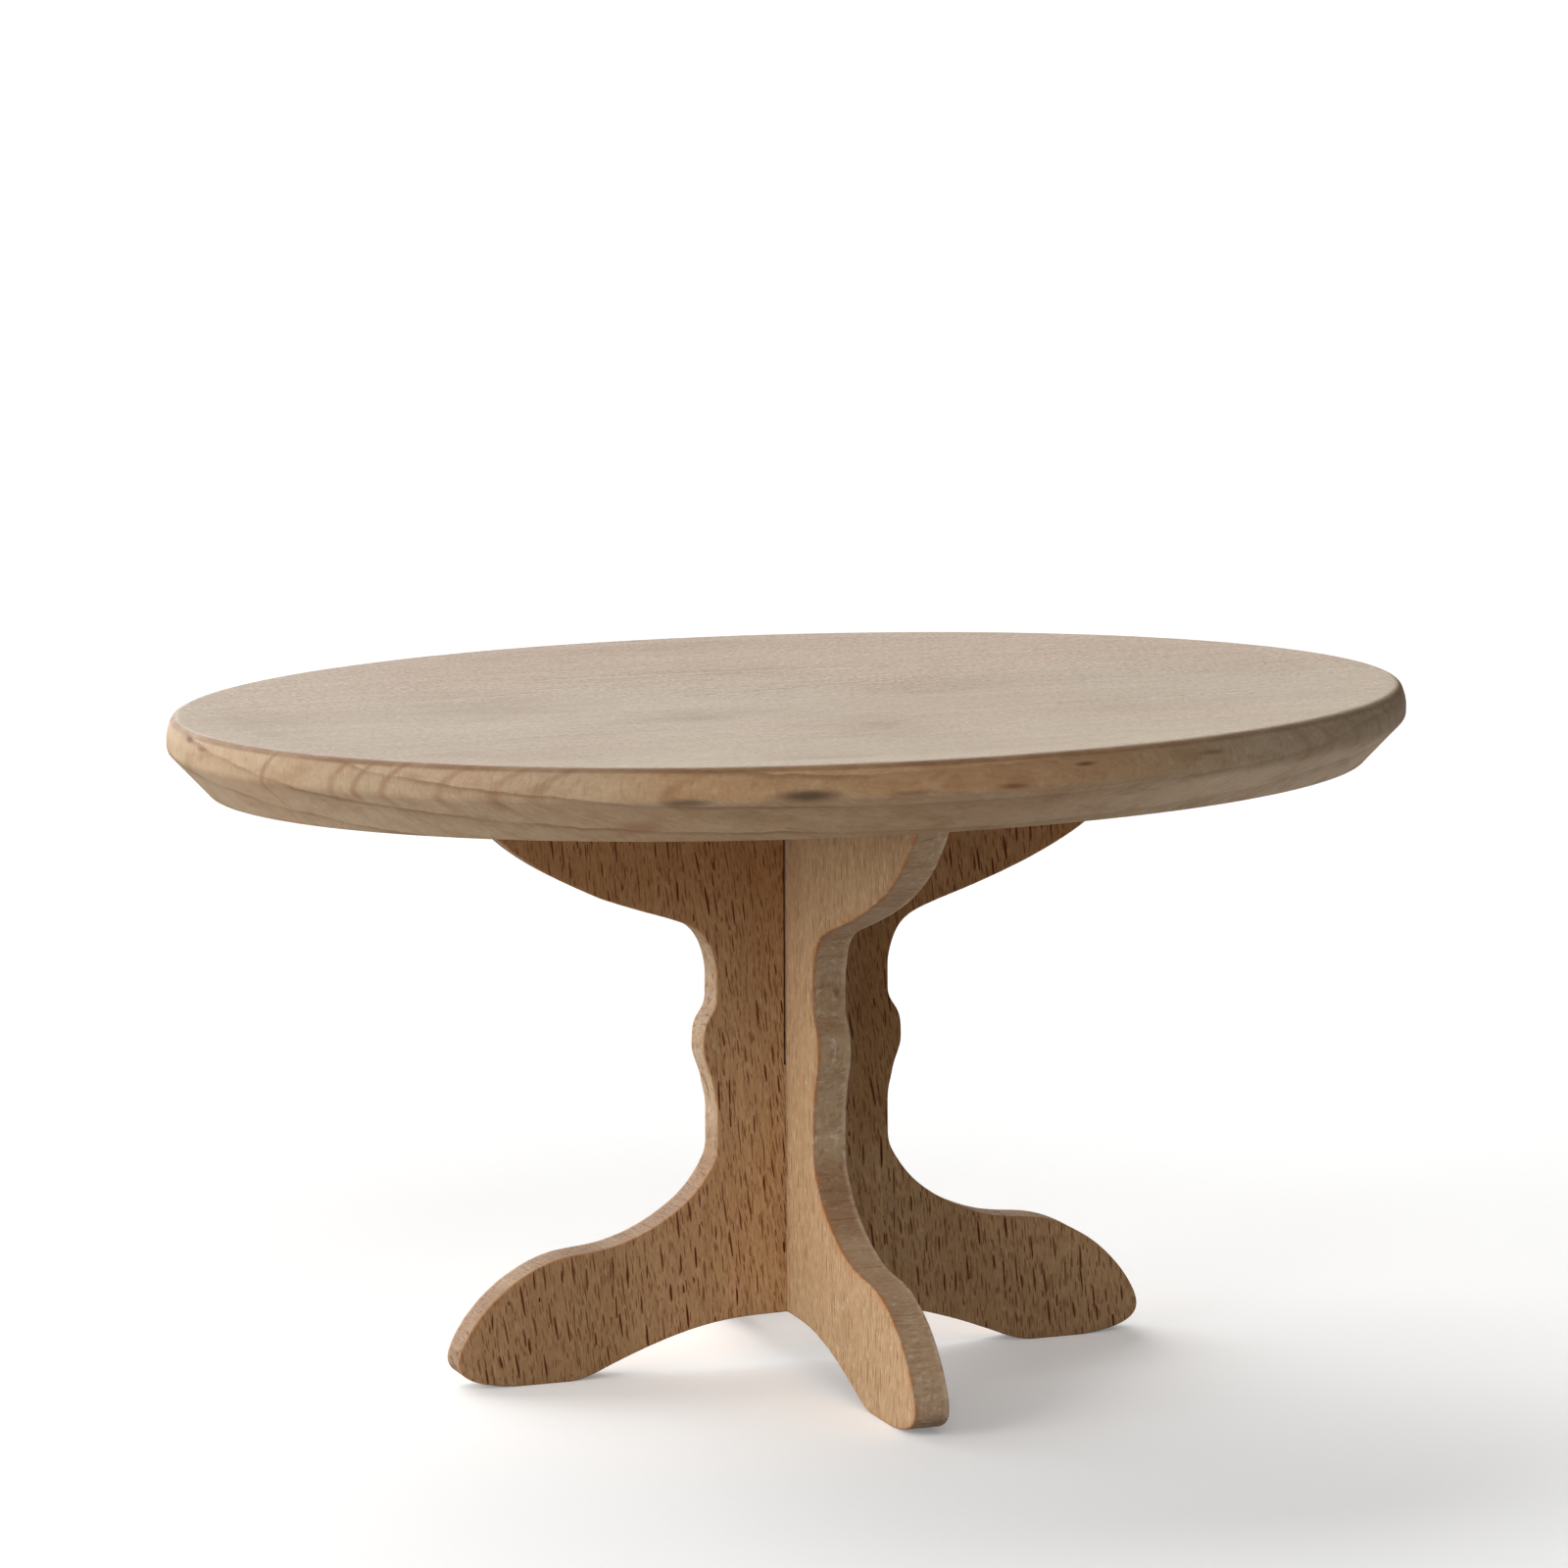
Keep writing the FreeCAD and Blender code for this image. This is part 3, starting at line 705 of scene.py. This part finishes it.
def beech(name, grain_axis, radial_axis, seed, look):
    """Procedural beech in object space; axes are numbered 0 to 2 for X to Z."""
    material = bpy.data.materials.new(name)
    net = Net(material)
    coord = net.node("ShaderNodeTexCoord")
    in_mm = net.make("ShaderNodeVectorMath",
                     {0: Signal(net, coord.outputs["Object"]), "Scale": 1000.0},
                     operation="SCALE")
    xyz = net.split(in_mm)
    axes = (radial_axis, 3 - grain_axis - radial_axis, grain_axis)
    radial, side, grain = [xyz[axis] for axis in axes]
    normal = net.split(Signal(net, coord.outputs["Normal"]))
    end_face = abs(normal[grain_axis]) ** 1.6

    # slow wander of the grain, and the lean of the fibres against the board's axis
    wander = net.clouds((radial, side, grain), (16, 16, 60), shift=(seed, 0, 0))
    wood = (radial + wander[0].swing(WANDER),
            side + wander[1].swing(WANDER) + grain * look.lean, grain)
    colour, height, fibre = fibre_figure(net, wood, seed, look)
    # each piece's own figure; for the top and the lengthwise board this also paints light and
    # shade into the colour
    colour, height = look.figure(net, colour, height, xyz, normal)
    if look.sawn:
        sawn = abs(normal[radial_axis]).ramp(0.75, 0.35)
        colour, height = sawn_edges(net, colour, height, sawn, wood, xyz, seed, look)

    # end grain drinks more light and shows pores
    pores = net.cloud(wood, (0.11, 0.11, 0.8), (0, 0, seed), detail=1)
    end_tone = net.mix(0.75, colour, net.mix(pores, look.end_dark, look.end_light))
    colour = net.mix(end_face * look.end, colour, end_tone)
    side_face = abs(normal[axes[1]]) ** 1.5
    colour, height, big = add_rays(net, colour, height, wood, (side_face, end_face), seed, look)

    # handled ridges are rubbed smoother, in broken patches
    ease = net.make("ShaderNodeAttribute", output="Fac", attribute_type="GEOMETRY",
                    attribute_name="ease")
    broken = net.cloud(xyz, (1.3, 1.3, 1.3), detail=3, rough=0.6)
    rub = ease.clamp() * broken.ramp(0.30, 0.62)
    far_face = xyz[radial_axis].ramp(-0.6, 0.6) if look.sawn else 0.0
    rub_colour = net.mix(far_face, look.rub_near, look.rub_far)
    colour = net.mix(rub * look.rub, colour, rub_colour)

    bump = net.make("ShaderNodeBump", {"Strength": 0.55, "Distance": 0.00006, "Height": height})
    surface = net.make("ShaderNodeBsdfPrincipled", {
        "Base Color": colour,
        "Roughness": look.rough + fibre.swing(0.16) - big * 0.08 - rub * 0.06,
        "IOR": 1.45, "Specular IOR Level": look.shine, "Normal": bump})
    net.node("ShaderNodeOutputMaterial", {0: surface})
    return material


# ------------------------------------------------------- figure of each piece
# stains round the rim: centre, radii, colour, strength
TOP_MARKS = (
    ((-14.2, -41.0, 59.35), (4.6, 2.2, 0.75), srgb(62, 50, 38), 0.80),
    ((-24.2, -38.4, 59.05), (3.2, 2.0, 0.55), srgb(66, 52, 40), 0.62),
    ((-20.5, -39.6, 57.6), (4.0, 2.5, 0.8), srgb(92, 78, 60), 0.35),
    ((-5.0, -42.0, 59.2), (2.6, 1.6, 0.35), srgb(86, 66, 46), 0.40),
    ((10.9, -41.6, 60.85), (1.6, 1.4, 0.30), srgb(98, 44, 34), 0.75),
    ((4.2, -42.1, 59.30), (2.0, 1.4, 0.36), srgb(120, 62, 28), 0.65),
    ((-28.0, -35.6, 56.5), (4.0, 2.5, 0.9), srgb(140, 84, 62), 0.45),
    ((-57.9, -2.2, 61.35), (1.0, 1.3, 0.45), srgb(96, 54, 34), 0.75),
    ((-57.6, -5.2, 60.9), (1.0, 1.6, 0.35), srgb(104, 60, 36), 0.60),
    ((24.5, -38.2, 60.6), (2.4, 1.6, 0.30), srgb(92, 62, 42), 0.45),
    ((18.0, 40.2, 59.2), (4.5, 2.2, 0.70), srgb(74, 58, 44), 0.60),
    ((-30.0, 36.4, 59.1), (3.0, 2.2, 0.50), srgb(78, 60, 44), 0.45),
    ((54.6, 14.6, 60.6), (1.2, 1.8, 0.35), srgb(104, 58, 38), 0.60))
# torn grain on the upper face: start, end, width
TEARS = (
    ((-19, 18.6), (-2, 18.0), 0.34), ((-2, 18.0), (11, 16.0), 0.42),
    ((11, 16.0), (23, 11.5), 0.30), ((-10, 3.0), (19, 7.0), 0.26),
    ((12, -14.0), (40, -13.0), 0.24), ((-34, 9.5), (-20, 10.5), 0.22),
    ((26, 22.0), (41, 19.0), 0.28), ((-8, 29.0), (6, 30.5), 0.24))
LIP_OFFSET = 0.5            # the pale lip lies this far in front of its tear
ARC_PLACES = (-14.4, -20.95, -22.85, -24.9, -28.4, -31.3, -33.2, -37.9)     # along Y
LAYER_PITCH = 3.05          # height between the nearly level growth layers


def rim_tones(net, colour, xyz, rim):
    """Cloudy tones of the rim, with painted light and shade by place: its upper band lies above
    about z = 59.
    """
    x, y, z = xyz
    patch = net.cloud(xyz, (4.2, 4.2, 1.6), (0, 0, 11), detail=3, rough=0.6)
    # honey tone, strongest along the front; below the upper band it is kept weaker as painted
    # shade
    honey = x.ramp(-38.0, -22.0) * x.ramp(34.0, 12.0) * y.ramp(0.0, -20.0)
    honey = net.high(honey, y.ramp(8.0, 26.0) * 0.6)
    upper = z.ramp(58.7, 59.6)
    colour = net.tint(rim * honey * upper.at_least(0.3), colour, (0.95, 0.80, 0.64))
    # towards the right, painted shade makes the upper band darker and greyer, and painted bounce
    # light from the floor makes the lower bevel lighter
    right = x.ramp(2.0, 28.0)
    colour = net.tint(rim * right * upper, colour, (0.87, 0.90, 0.93))
    colour = net.tint(rim * right * z.ramp(58.9, 58.0), colour, (1.33, 1.38, 1.47))
    # painted shade: the lower bevel slightly darker on the front left
    front_left = x.ramp(-48.0, -36.0) * x.ramp(3.0, -8.0) * y.ramp(0.0, -12.0)
    colour = net.tint(rim * front_left * z.ramp(58.9, 58.0), colour, (0.97, 0.94, 0.91))
    colour = net.mix(rim * patch.ramp(0.50, 0.72) * 0.34, colour, srgb(150, 110, 74))
    return net.mix(rim * patch.ramp(0.48, 0.30) * 0.22, colour, srgb(214, 190, 158))


def face_grain(net, colour, height, xyz, face, sway):
    """Fine open grain of the planed face, rougher at the back and lighter to the right."""
    x, y, _ = xyz
    colour = net.tint(face * x.ramp(10.0, 44.0), colour, (1.04, 1.055, 1.075))
    grit = net.cloud(xyz, (0.42, 0.75, None), (0, 0, 5.0), detail=3, rough=0.65)
    streak = net.cloud(xyz, (5.5, 0.9, None), (0, 0, 9.0), rough=0.55)
    rough_zone = (y + x * 0.12 + sway.swing(10)).ramp(-6.0, 16.0).at_least(0.45)
    shade = 1.0 + grit.swing(rough_zone * 1.7) + streak.swing(rough_zone * 0.45 - 0.05)
    colour = net.tint(face, colour, net.vec(shade, shade, shade))
    ticks = net.cloud(xyz, (0.9, 0.55, None), (0, 31, 2.0))
    colour = net.mix(ticks.ramp(0.58, 0.70) * face * rough_zone * 0.60, colour,
                     srgb(146, 112, 88))
    return colour, height + grit.swing(face) * 0.9 - ticks.ramp(0.60, 0.72) * face * 0.6


def growth_layers(net, colour, xyz, face, rim, sway, jitter):
    """The flat-sawn growth layers as they show on the rim."""
    x, y, z = xyz
    fade = net.cloud(xyz, (11, 6, 4), (4, 0, 0))
    # nearly level layers, falling towards the front
    layer = (z - y * 0.165 - 62.05 + sway[0].swing(1.3) + jitter[0].swing(0.55)) / LAYER_PITCH
    cycle = net.math("FRACT", layer + 40.0)
    late = cycle.ramp(0.45, 0.97) * cycle.ramp(1.0, 0.975)
    line = abs(cycle - 0.97).ramp(0.13, 0.01)
    strong = fade.ramp(0.36, 0.60).at_least(0.25) * x.ramp(4.0, -16.0).at_least(0.25)
    shown = rim * 0.85 + face * 0.05
    colour = net.mix(late * 0.20 * shown, colour, srgb(122, 88, 60))
    colour = net.mix(line * strong * 0.46 * shown, colour, srgb(108, 70, 46))
    # steep layers that cross the rim as short arcs, placed in front and regular behind
    rise = z - 60.0
    place = y + rise * 0.34 + rise * rise * 0.11 + sway[1].swing(0.5) + jitter[1].swing(0.35)
    arcs = reduce(net.high, [abs(place - middle).ramp(0.46, 0.02) for middle in ARC_PLACES])
    regular = net.math("FRACT", (place + sway[2].swing(2.2)) / 3.7 + 30.0)
    behind = abs(regular - 0.5).ramp(0.09, 0.01) * y.ramp(4.0, 9.0)
    arcs = net.high(arcs, behind) * abs(x).ramp(16.0, 28.0) * fade.ramp(0.66, 0.42).at_least(0.65)
    arcs = arcs * z.ramp(57.0, 59.4).at_least(0.25) * x.ramp(20.0, -10.0).at_least(0.45)
    return net.mix(arcs * rim * 0.46, colour, srgb(140, 90, 54))


def torn_grain(net, colour, height, xyz, face):
    """Fine wavy tears with a lighter lip, and small bruises and specks."""
    x, y, _ = xyz
    wave = net.clouds(xyz, (2.2, 2.2, None), shift=(0, 0, 3.0), detail=3, rough=0.6)
    wavy = x + wave[0].swing(1.5), y + wave[1].swing(1.5)
    tears = reduce(net.high, [near_segment(net, *wavy, start, end, width)
                              for start, end, width in TEARS])
    lips = reduce(net.high, [
        near_segment(net, *wavy, (start[0], start[1] - LIP_OFFSET),
                     (end[0], end[1] - LIP_OFFSET), width * 1.6)
        for start, end, width in TEARS])
    broken = net.cloud(xyz, (1.5, 0.5, None), (0, 0, 1.0)).ramp(0.40, 0.55)
    tears, lips = tears * broken * face, lips * broken * face
    colour = net.mix(tears * 0.62, colour, srgb(136, 104, 80))
    colour = net.mix(lips * 0.34, colour, srgb(226, 211, 190))
    height = height - tears * 2.2 + lips * 0.8
    _, random, distance = net.cells(net.vec(x / 5.5, y / 3.2, 7.7))
    chance, size, _ = net.split(random)
    speck = distance.ramp(size * 0.07 + 0.02, 0.01) * chance.ramp(0.62, 0.66) * face
    return net.mix(speck * 0.55, colour, srgb(128, 92, 70)), height - speck * 1.2


def top_figure_and_shade(net, colour, height, xyz, normal):
    """Growth rings, stains and torn grain of the oval top, and its rim tones with painted light
    and shade.
    """
    x, y, z = xyz
    face = normal[2].ramp(0.80, 0.97)
    rim = 1.0 - face
    colour = net.tint(rim * 0.9, colour, (1.005, 0.87, 0.715))
    sway = net.clouds(xyz, (24, 10, 7))
    jitter = net.clouds(xyz, (3.0, 3.0, 2.2), detail=3, rough=0.6)
    colour = rim_tones(net, colour, xyz, rim)
    colour, height = face_grain(net, colour, height, xyz, face, sway[0])
    # a thin darker line where the face turns down into the rim
    turn = z.ramp(61.42, 61.66) * z.ramp(61.985, 61.90)
    uneven = jitter[2].ramp(0.35, 0.65) * 0.30 + 0.45
    colour = net.mix(turn * uneven * x.ramp(34.0, 4.0).at_least(0.35), colour,
                     srgb(128, 94, 66))
    colour = growth_layers(net, colour, xyz, face, rim, sway, jitter)
    for centre, radii, stain, strength in TOP_MARKS:
        place = (x + sway[0].swing(1.6), y, z + sway[2].swing(0.7))
        colour = net.mix(blob(net, place, centre, radii) * strength, colour, stain)
    # pinker at the back, lighter at the front
    back = (y + x * 0.10 + sway[0].swing(14)).ramp(-2.0, 24.0)
    colour = net.mix(back * face * 0.30, colour, srgb(192, 160, 138))
    front = (y + sway[0].swing(9)).ramp(-20.0, -38.0)
    colour = net.mix(front * face * 0.30, colour, srgb(212, 196, 172))
    return torn_grain(net, colour, height, xyz, face)


def long_board_shade_and_tone(net, colour, height, xyz, _normal):
    """The lengthwise board is redder and darker towards its head as painted shadow under the top,
    darker right of the column as painted shadow of the crosswise board, and paler in the feet as
    painted light.
    """
    drift = net.cloud(xyz, (12, 12, 12))
    z, x = xyz[2] + drift.swing(8), xyz[0] + drift.swing(3)
    # head as painted shadow under the top, right of the column as painted shadow of the crosswise
    # board, lower half as painted light, then left foot and warm foot of the column
    colour = net.tint(z.ramp(38.5, 47.5), colour, (0.89, 0.81, 0.72))
    shade = x.ramp(3.0, 7.0) * z.ramp(17.0, 24.0) * z.ramp(46.0, 40.0)
    colour = net.tint(shade, colour, (0.78, 0.70, 0.60))
    colour = net.tint(z.ramp(42.0, 25.0), colour, (1.08, 1.135, 1.18))
    colour = net.tint(x.ramp(-12.0, -20.0) * z.ramp(30.0, 22.0), colour, (0.89, 0.86, 0.84))
    warm = abs(x + 3.0).ramp(9.0, 3.0) * z.ramp(26.0, 19.0)
    return net.tint(warm * 0.6, colour, (1.06, 0.99, 0.93)), height


def cross_board_figure(net, colour, height, xyz, _normal):
    """A small knot-brown mark on the crosswise board's front edge."""
    x, y, z = xyz
    jitter = net.cloud(xyz, (0.5, 0.5, 0.5))
    place = (x + jitter.swing(0.5), y, z + jitter.swing(0.6))
    spot = blob(net, place, centre=(0.80, -8.6, 35.80), radii=(0.42, 1.2, 0.75))
    return net.mix(spot * 0.75, colour, srgb(146, 84, 50)), height


# dark..light is the fibre tone; zone, band, fibre and fine are the contrast of each scale
# of figure; pink (towards warm), wool (ray_mid), pale (glint), end (end_dark..end_light),
# rub (rub_near, rub_far), scar and toe are the strength of each effect.
# Rays: cell is their spacing (radial, side, grain), share the part of cells that hold
# one, small_share the same for small rays, ray and small their strength.
# lean is the fibres' slope, sawn the tint of sawn edges, rough and shine the finish.
TOP_LOOK = Look(
    figure=top_figure_and_shade, lean=0.0, sawn=None, rough=0.62, shine=0.30,
    dark=srgb(174, 154, 131), light=srgb(207, 193, 174),
    warm=srgb(196, 164, 145), glint=srgb(222, 209, 191),
    end_dark=srgb(140, 104, 70), end_light=srgb(190, 158, 120),
    rub_near=srgb(150, 116, 84), rub_far=srgb(207, 193, 174),
    ray_dark=srgb(128, 92, 68), ray_mid=srgb(156, 126, 100),
    cell=(9.0, 1.1, 3.0), half_width=0.07, half_length=0.8,
    share=0.6, small_share=0.75, small=0.8, ray=0.34,
    zone=0.5, band=0.6, fibre=0.8, fine=0.5,
    wool=0.30, pale=0.30, pink=0.3, end=0.15, rub=0.16)
LENGTHWISE_LOOK = Look(
    figure=long_board_shade_and_tone, lean=0.11, sawn=(0.92, 1.06, 1.32), rough=0.66, shine=0.14,
    dark=srgb(160, 121, 82), light=srgb(211, 170, 125),
    warm=srgb(188, 134, 98), glint=srgb(208, 178, 144),
    end_dark=srgb(134, 104, 78), end_light=srgb(176, 146, 118),
    rub_near=srgb(184, 134, 90), rub_far=srgb(206, 176, 140),
    ray_dark=srgb(92, 35, 8), ray_mid=srgb(130, 73, 37),
    sawn_dark=srgb(132, 98, 76), scar=0.55, toe=0.8,
    cell=(9.0, 1.30, 3.2), half_width=0.084, half_length=1.14,
    share=0.90, small_share=0.95, small=0.85, ray=1.0,
    zone=0.4, band=0.5, fibre=1.2, fine=0.95,
    wool=0.75, pale=0.50, pink=0.25, end=0.35, rub=0.55)
CROSSWISE_LOOK = Look(
    figure=cross_board_figure, lean=-0.03, sawn=(1.02, 1.09, 1.22), rough=0.66, shine=0.25,
    dark=srgb(170, 135, 98), light=srgb(207, 174, 134),
    warm=srgb(206, 164, 128), glint=srgb(232, 208, 178),
    end_dark=srgb(140, 108, 82), end_light=srgb(184, 152, 122),
    rub_near=srgb(180, 118, 66), rub_far=srgb(226, 200, 168),
    ray_dark=srgb(126, 80, 46), ray_mid=srgb(158, 115, 78),
    sawn_dark=srgb(148, 110, 86), scar=1.0, toe=0.0,
    cell=(9.0, 1.0, 3.0), half_width=0.062, half_length=0.95,
    share=0.85, small_share=0.85, small=0.8, ray=1.0,
    zone=0.35, band=0.6, fibre=1.15, fine=0.9,
    wool=0.62, pale=0.55, pink=0.25, end=0.35, rub=0.75)

# ---------------------------------------------------------------------- stage
# soft light: name, direction it comes from, angular size in degrees, strength
LAMPS = [
    ("window_low", (-1.0, -0.12, 0.22), 50, 2.62),
    ("window_high", (-0.75, -0.15, 0.75), 60, 0.04),
    ("overhead", (0.0, 0.15, 1.0), 80, 0.03),
    ("front", (-0.35, -1.0, 0.25), 60, 0.15),
    ("rear", (-0.3, 1.0, 0.6), 70, 3.6),
    ("front_high", (-0.25, -1.0, 0.95), 36, 0.59),
]
LAMP_DISTANCE = 0.6
ROOM_LIGHT = (0.010, 0.00995, 0.00985, 1)   # what the surroundings shed on the table
BACKDROP = (0.98, 0.98, 0.98, 1)            # what the camera sees behind it
FLOOR_RADIUS, FLOOR_SIDES = 14.0, 128       # metres
FLOOR_BOUNCE = (0.50, 0.497, 0.49)          # the floor as other surfaces see it
FLOOR_TONES = (0.90, 0.90, 0.895), (0.93, 0.93, 0.925)      # as the camera sees it
FLOOR_GLOW = 0.2


def floor_paint():
    """White to the camera, but throwing back only soft light, and clear from below."""
    material = bpy.data.materials.new("floor_paint")
    net = Net(material)
    place = net.make("ShaderNodeTexCoord", output="Object")
    mottle = net.noise(place, scale=40, detail=3)
    seen = net.make("ShaderNodeLightPath", output="Is Camera Ray")
    paint = net.mix(seen, FLOOR_BOUNCE, net.mix(mottle, *FLOOR_TONES))
    diffuse = net.make("ShaderNodeBsdfDiffuse", {"Color": paint})
    glow = net.make("ShaderNodeEmission", {"Strength": seen * FLOOR_GLOW})
    sheet = net.make("ShaderNodeAddShader", {0: diffuse, 1: glow})
    below = net.make("ShaderNodeNewGeometry", output="Backfacing")
    clear = net.make("ShaderNodeBsdfTransparent")
    shown = net.make("ShaderNodeMixShader", {0: below * seen, 1: sheet, 2: clear})
    net.node("ShaderNodeOutputMaterial", {0: shown})
    return material


def build_floor():
    mesh = bpy.data.meshes.new("floor")
    angles = [2 * math.pi * k / FLOOR_SIDES for k in range(FLOOR_SIDES)]
    mesh.from_pydata([(FLOOR_RADIUS * math.cos(angle), FLOOR_RADIUS * math.sin(angle), 0)
                      for angle in angles], [], [tuple(range(FLOOR_SIDES))])
    floor = bpy.data.objects.new("floor", mesh)
    bpy.context.scene.collection.objects.link(floor)
    mesh.materials.append(floor_paint())


def build_world():
    world = bpy.data.worlds.new("studio")
    bpy.context.scene.world = world
    world.use_nodes = True
    tree = world.node_tree
    background = tree.nodes["Background"]
    path = tree.nodes.new("ShaderNodeLightPath")
    mix = tree.nodes.new("ShaderNodeMix")
    mix.data_type = "RGBA"
    tree.links.new(path.outputs["Is Camera Ray"], mix.inputs[0])
    mix.inputs[6].default_value = ROOM_LIGHT
    mix.inputs[7].default_value = BACKDROP
    tree.links.new(mix.outputs[2], background.inputs["Color"])
    background.inputs["Strength"].default_value = 1.0


def build_lamps():
    for name, toward, spread, strength in LAMPS:
        light = bpy.data.lights.new(name, "SUN")
        light.angle = math.radians(spread)
        light.energy = strength
        lamp = bpy.data.objects.new(name, light)
        bpy.context.scene.collection.objects.link(lamp)
        lamp.location = Vector(toward) * LAMP_DISTANCE
        lamp.rotation_mode = "QUATERNION"
        lamp.rotation_quaternion = (-Vector(toward)).to_track_quat("-Z", "Y")


def build_camera(place, yaw, pitch, roll, lens):
    """Yaw turns from +Y towards +X, pitch looks down; angles in radians, lens in mm."""
    data = bpy.data.cameras.new("camera")
    camera = bpy.data.objects.new("camera", data)
    bpy.context.scene.collection.objects.link(camera)
    level = Vector((math.sin(yaw), math.cos(yaw), 0))
    right = Vector((math.cos(yaw), -math.sin(yaw), 0))
    up = Vector((0, 0, 1))
    ahead = level * math.cos(pitch) - up * math.sin(pitch)
    above = up * math.cos(pitch) + level * math.sin(pitch)
    camera_x = right * math.cos(roll) + above * math.sin(roll)
    camera_y = above * math.cos(roll) - right * math.sin(roll)
    matrix = Matrix((camera_x, camera_y, -ahead)).transposed().to_4x4()
    matrix.translation = Vector(place)
    camera.matrix_world = matrix
    data.sensor_width = 36.0
    data.lens = lens
    data.clip_start, data.clip_end = 0.01, 50
    bpy.context.scene.camera = camera


# ------------------------------------------------------------------- assembly
oval_top = build_tabletop()
lengthwise = build_board("board_lengthwise", "lengthwise_board", along=0, slot_up=True, seed=21)
crosswise = build_board("board_crosswise", "crosswise_board", along=1, slot_up=False, seed=57)
oval_top.data.materials.append(
    beech("beech_top", grain_axis=0, radial_axis=2, seed=2.3, look=TOP_LOOK))
lengthwise.data.materials.append(
    beech("beech_lengthwise", grain_axis=2, radial_axis=1, seed=5.1, look=LENGTHWISE_LOOK))
crosswise.data.materials.append(
    beech("beech_crosswise", grain_axis=2, radial_axis=0, seed=8.9, look=CROSSWISE_LOOK))
build_floor()
build_world()
build_lamps()
build_camera(place=(-0.21899, -0.58000, 0.14968), yaw=0.359304, pitch=0.153511,
             roll=-0.00362, lens=157.220325)
bpy.context.scene.view_settings.view_transform = "Standard"
bpy.context.scene.view_settings.look = "None"

bpy.context.view_layer.update()
